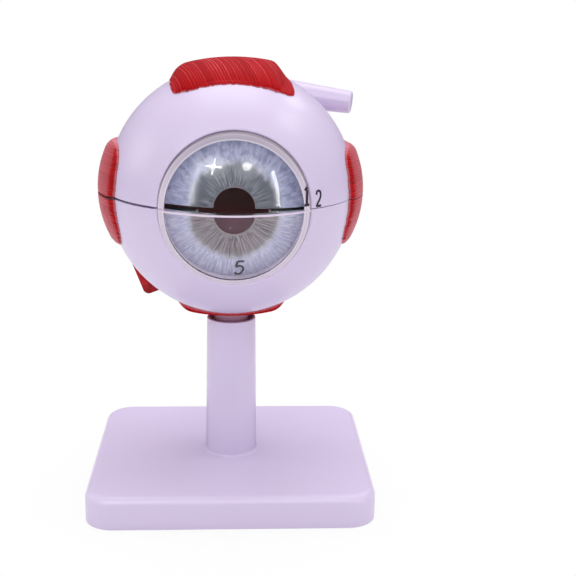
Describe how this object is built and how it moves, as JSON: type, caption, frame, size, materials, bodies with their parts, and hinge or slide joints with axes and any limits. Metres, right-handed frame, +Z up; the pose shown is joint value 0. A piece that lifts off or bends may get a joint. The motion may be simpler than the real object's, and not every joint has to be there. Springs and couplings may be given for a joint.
{
  "type": "eye anatomy model",
  "caption": "Take-apart human eye model on a post and base; the ball opens at its equator to show iris, lens, vitreous body, choroid and retina.",
  "frame": {"origin": "centre of the underside of the base plate", "axes": "+Z up through the post; the eye looks along -Y, +X is its nasal side"},
  "size_m": [0.139, 0.1431, 0.2151],
  "materials": {
    "lilac_plastic": "smooth moulded, soft gloss",
    "muscle_red": "painted fibres under a satin varnish",
    "clear_cornea": "clear polished",
    "iris_paint": "painted in rings with radial lines",
    "white_plastic": "painted white",
    "choroid_black": "glossy black paint",
    "retina_orange": "painted with vessels",
    "clear_lens": "clear polished",
    "clear_filling": "clear polished",
    "plated_steel": "zinc plated"
  },
  "bodies": {
    "stand": {"base_plate": "lilac_plastic", "post": "lilac_plastic", "post_screw": "plated_steel", "post_washer": "plated_steel"},
    "globe_lower": {"sclera_lower": "lilac_plastic", "cornea_lower": "clear_cornea", "rim_pins": "plated_steel", "inferior_rectus": "muscle_red", "inferior_oblique": "muscle_red", "lateral_rectus_lower": "muscle_red", "medial_rectus_lower": "muscle_red", "optic_nerve": "lilac_plastic"},
    "inner_lower": {"choroid_lower": "choroid_black", "ciliary_ring_lower": "white_plastic", "iris_lower": "iris_paint", "retina_lower": "retina_orange", "inner_pins": "plated_steel"},
    "vitreous": {"vitreous_body": "clear_filling"},
    "lens": {"lens": "clear_lens"},
    "inner_upper": {"choroid_upper": "choroid_black", "ciliary_ring_upper": "white_plastic", "iris_upper": "iris_paint", "retina_upper": "retina_orange"},
    "lid": {"sclera_upper": "lilac_plastic", "cornea_upper": "clear_cornea", "superior_rectus": "muscle_red", "superior_oblique_tendon": "lilac_plastic", "lateral_rectus_upper": "muscle_red", "medial_rectus_upper": "muscle_red"}
  },
  "joints": [
    {"name": "post_swivel", "type": "hinge", "parent": "stand", "child": "globe_lower", "pos_m": [0, 0, 0], "axis": [0, 0, 1], "continuous": true},
    {"name": "inner_lower_lift", "type": "slide", "parent": "globe_lower", "child": "inner_lower", "axis": [0, 0, 1], "range_m": [0, 0.075]},
    {"name": "vitreous_lift", "type": "slide", "parent": "inner_lower", "child": "vitreous", "axis": [0, 0, 1], "range_m": [0, 0.065]},
    {"name": "lens_lift", "type": "slide", "parent": "vitreous", "child": "lens", "axis": [0, 0, 1], "range_m": [0, 0.07]},
    {"name": "inner_upper_lift", "type": "slide", "parent": "lens", "child": "inner_upper", "axis": [0, 0, 1], "range_m": [0, 0.06]},
    {"name": "lid_lift", "type": "slide", "parent": "inner_upper", "child": "lid", "axis": [0, 0, 1], "range_m": [0, 0.075]}
  ]
}
